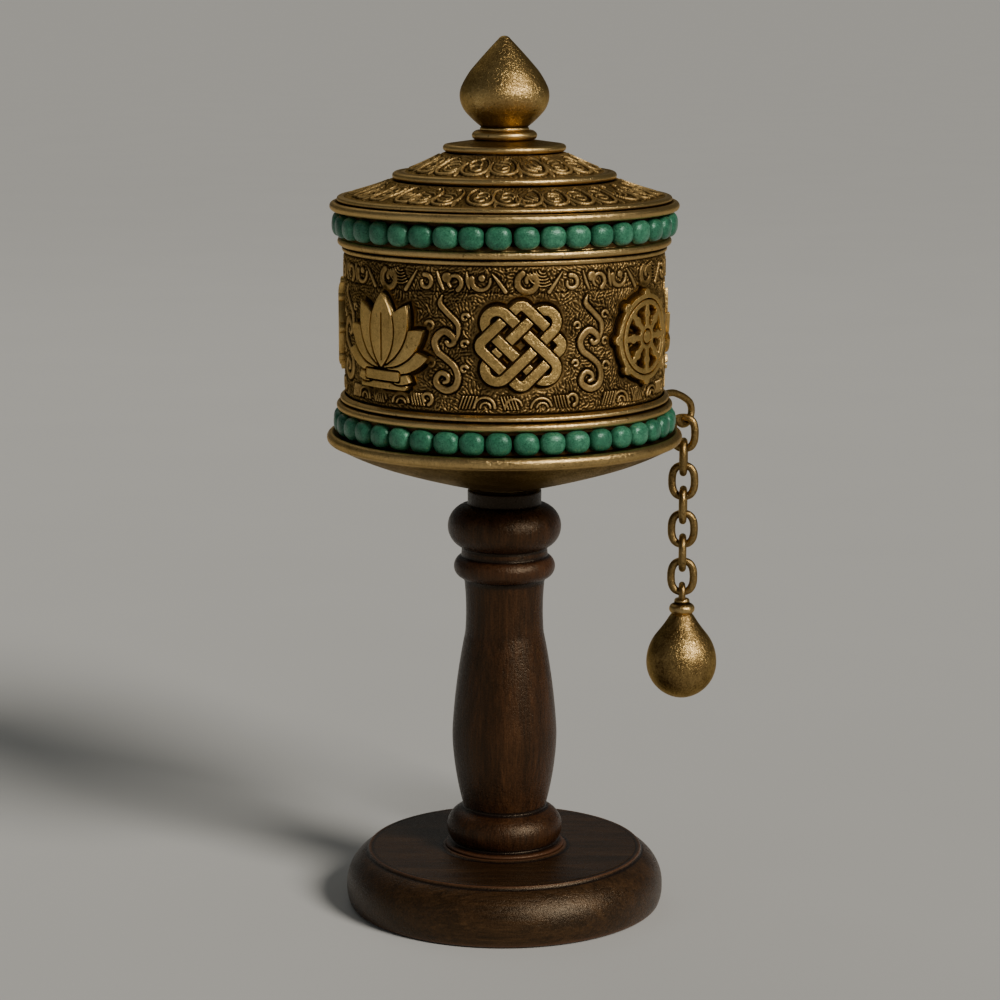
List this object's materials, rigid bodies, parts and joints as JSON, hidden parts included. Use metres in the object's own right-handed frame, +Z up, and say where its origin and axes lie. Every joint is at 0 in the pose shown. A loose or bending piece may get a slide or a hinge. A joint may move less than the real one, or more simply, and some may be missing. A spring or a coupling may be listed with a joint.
{
  "type": "prayer wheel",
  "caption": "Tabletop prayer wheel: bronze drum with raised emblems and turquoise beads, spinning on a turned wooden stand, with a chained flying weight.",
  "frame": {"origin": "centre of the resting face under the base disc", "axes": "+Z up along the axle, -Y to the front, +X to the right, on the chain's side"},
  "size_m": [0.0975, 0.0868, 0.215],
  "materials": {
    "felt": "matt felt",
    "dark_wood": "satin dark reddish-brown",
    "steel": "bright",
    "plain_brass": "machined",
    "antique_brass": "aged, rubbed bright on edges",
    "drum_bronze": "chased, dark in the recesses",
    "turquoise": "polished stone",
    "core_wood": "plain",
    "paper": "matt paper"
  },
  "bodies": {
    "stand": {"felt_pad": "felt", "base_disc": "dark_wood", "base_screw": "steel", "post": "dark_wood", "axle": "steel", "thrust_washer": "plain_brass", "finial_collar": "antique_brass", "finial": "antique_brass"},
    "drum": {"lower_bush": "plain_brass", "bottom_dish": "antique_brass", "bottom_rim_ring": "antique_brass", "drum_shell": "drum_bronze", "lower_bead_band": "drum_bronze", "lower_beads": "turquoise", "lower_collar_ring": "antique_brass", "emblems": "antique_brass", "upper_collar_ring": "antique_brass", "upper_bead_band": "drum_bronze", "upper_beads": "turquoise", "lid_rim_ring": "antique_brass", "lid_dome": "drum_bronze", "lid_mid_ring": "antique_brass", "lid_top_disc": "antique_brass", "upper_bush": "plain_brass", "scroll_core": "core_wood", "prayer_scroll": "paper", "chain_eye": "antique_brass"},
    "link_1": {"link_1": "antique_brass"},
    "link_2": {"link_2": "antique_brass"},
    "link_3": {"link_3": "antique_brass"},
    "link_4": {"link_4": "antique_brass"},
    "link_5": {"link_5": "antique_brass"},
    "link_6": {"link_6": "antique_brass"},
    "link_7": {"link_7": "antique_brass"},
    "weight": {"weight_eye": "antique_brass", "weight_collar": "antique_brass", "weight_drop": "antique_brass"}
  },
  "joints": [
    {"name": "drum_spin", "type": "hinge", "parent": "stand", "child": "drum", "pos_m": [0, 0, 0.1048], "axis": [0, 0, 1], "continuous": true},
    {"name": "link_1_swing", "type": "hinge", "parent": "drum", "child": "link_1", "pos_m": [0.0451, 0.0186, 0.11805], "axis": [0.6157, 0.788, 0], "range_deg": [-25, 15]},
    {"name": "link_2_swing", "type": "hinge", "parent": "link_1", "child": "link_2", "pos_m": [0.0451, 0.0186, 0.1119], "axis": [0.9659, -0.2588, 0], "range_deg": [-25, 25]},
    {"name": "link_3_swing", "type": "hinge", "parent": "link_2", "child": "link_3", "pos_m": [0.0451, 0.0186, 0.10575], "axis": [-0.1045, -0.9945, 0], "range_deg": [-12, 30]},
    {"name": "link_4_swing", "type": "hinge", "parent": "link_3", "child": "link_4", "pos_m": [0.0451, 0.0186, 0.0996], "axis": [0.9903, -0.1392, 0], "range_deg": [-25, 25]},
    {"name": "link_5_swing", "type": "hinge", "parent": "link_4", "child": "link_5", "pos_m": [0.0451, 0.0186, 0.09345], "axis": [-0.1045, -0.9945, 0], "range_deg": [-12, 30]},
    {"name": "link_6_swing", "type": "hinge", "parent": "link_5", "child": "link_6", "pos_m": [0.0451, 0.0186, 0.0873], "axis": [0.9976, -0.0698, 0], "range_deg": [-25, 25]},
    {"name": "link_7_swing", "type": "hinge", "parent": "link_6", "child": "link_7", "pos_m": [0.0451, 0.0186, 0.08115], "axis": [-0.0698, -0.9976, 0], "range_deg": [-12, 30]},
    {"name": "weight_swing", "type": "hinge", "parent": "link_7", "child": "weight", "pos_m": [0.0451, 0.0186, 0.075], "axis": [0.998, -0.0628, 0], "range_deg": [-25, 25]}
  ]
}
